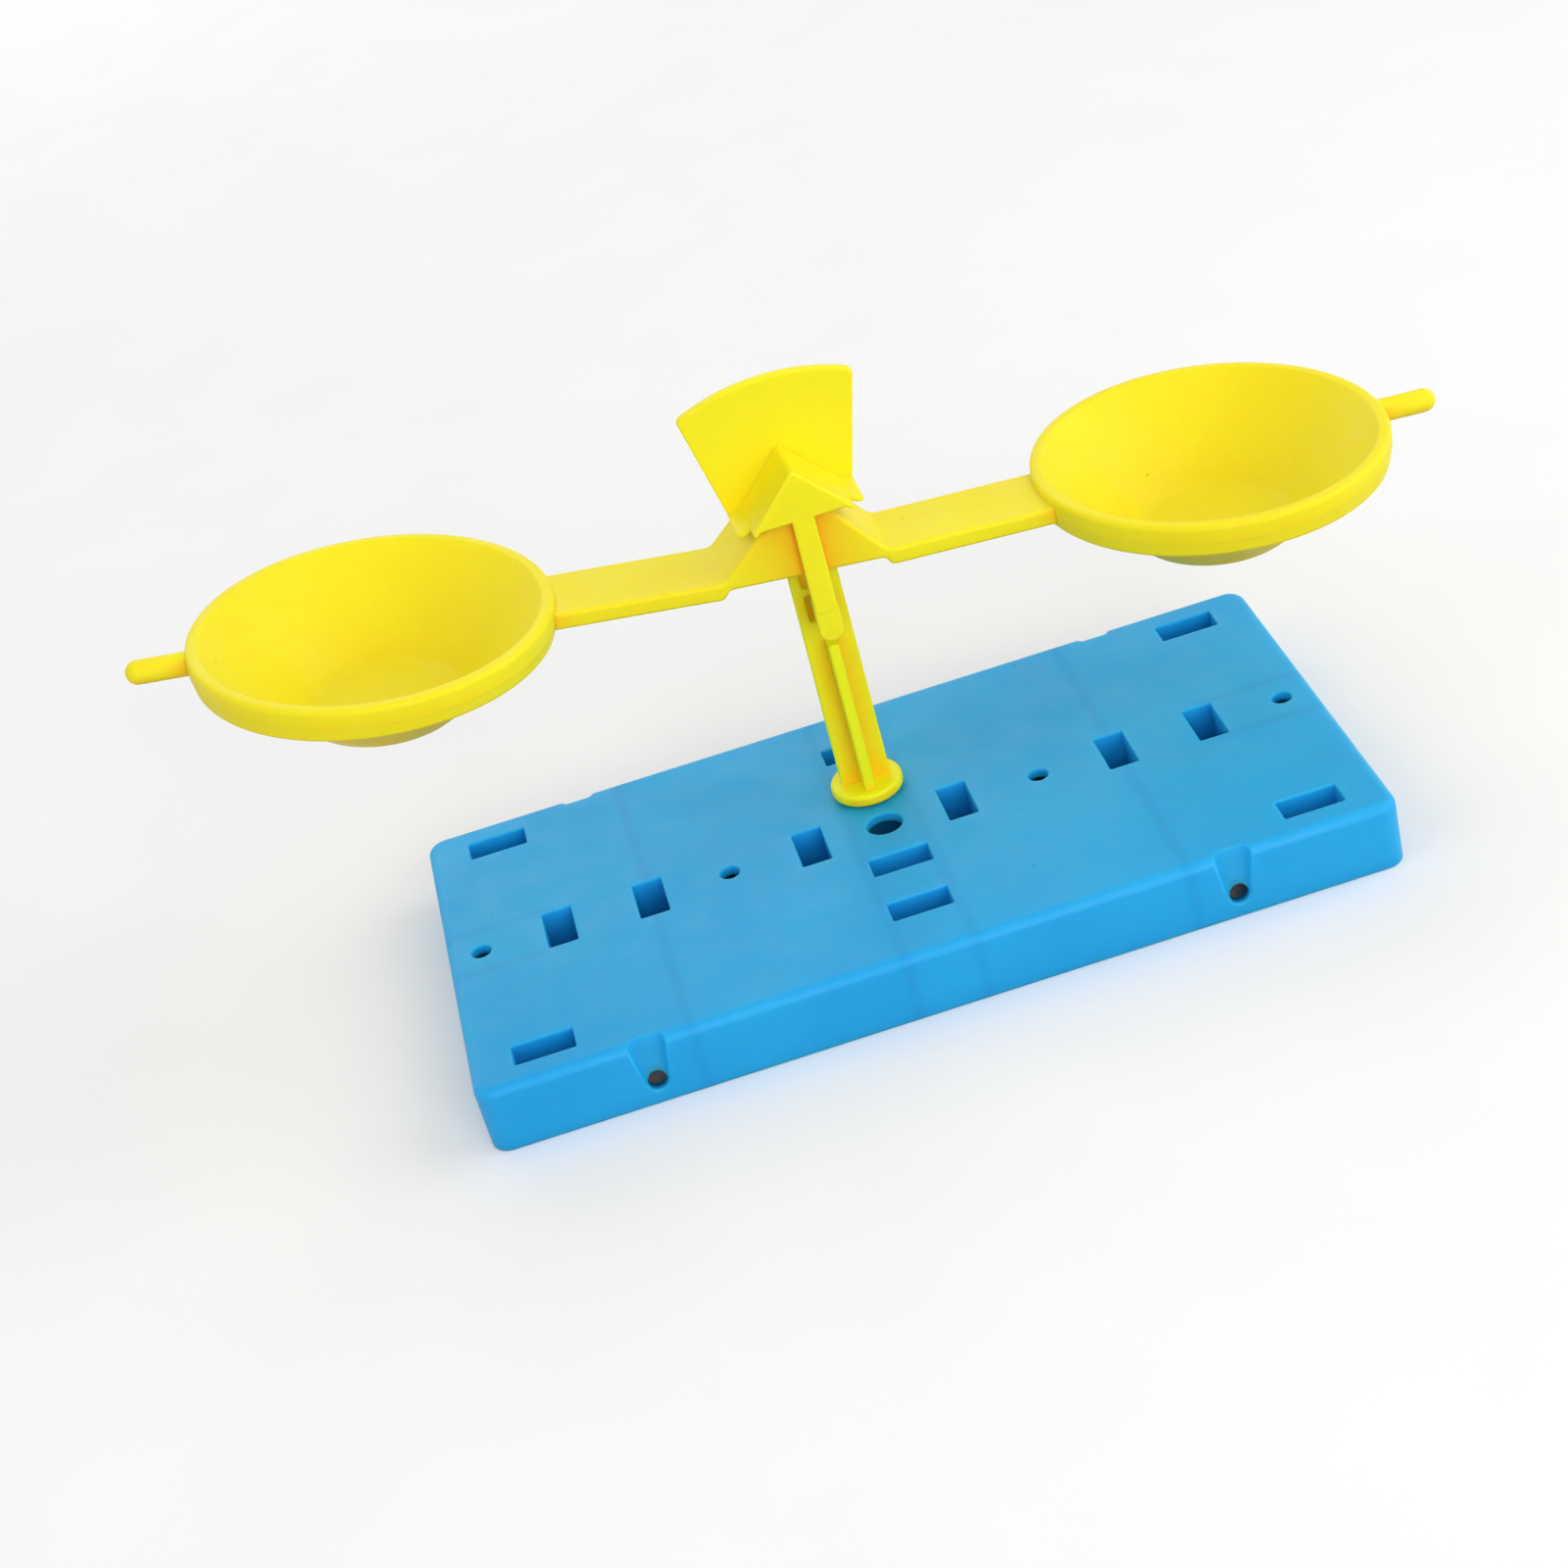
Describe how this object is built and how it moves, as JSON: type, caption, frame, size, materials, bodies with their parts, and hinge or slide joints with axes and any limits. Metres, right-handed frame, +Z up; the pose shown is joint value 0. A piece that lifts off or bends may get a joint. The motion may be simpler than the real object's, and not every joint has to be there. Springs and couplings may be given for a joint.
{
  "type": "toy balance scale",
  "caption": "Toy balance scale: slotted tray base, plug-in post and a rocking beam with a round pan at each end, under a fan-shaped dial cap.",
  "frame": {"origin": "on the table, under the middle of the object's bounding box, which is within a millimetre of the tray's middle", "axes": "+X along the beam to the right pan, +Y to the back, where the post stands, +Z up"},
  "size_m": [0.2125, 0.0778, 0.0887],
  "materials": {
    "base_blue": "soft gloss, moulded",
    "post_yellow": "soft gloss, moulded",
    "beam_yellow": "soft gloss, moulded",
    "cap_yellow": "soft gloss, moulded"
  },
  "bodies": {
    "stand": {"base": "base_blue", "post": "post_yellow", "dial_cap": "cap_yellow"},
    "beam": {"beam": "beam_yellow"}
  },
  "joints": [
    {"name": "beam_tilt", "type": "hinge", "parent": "stand", "child": "beam", "pos_m": [0, 0.00999, 0.0701], "axis": [0, 1, 0], "range_deg": [-14, 2]}
  ]
}
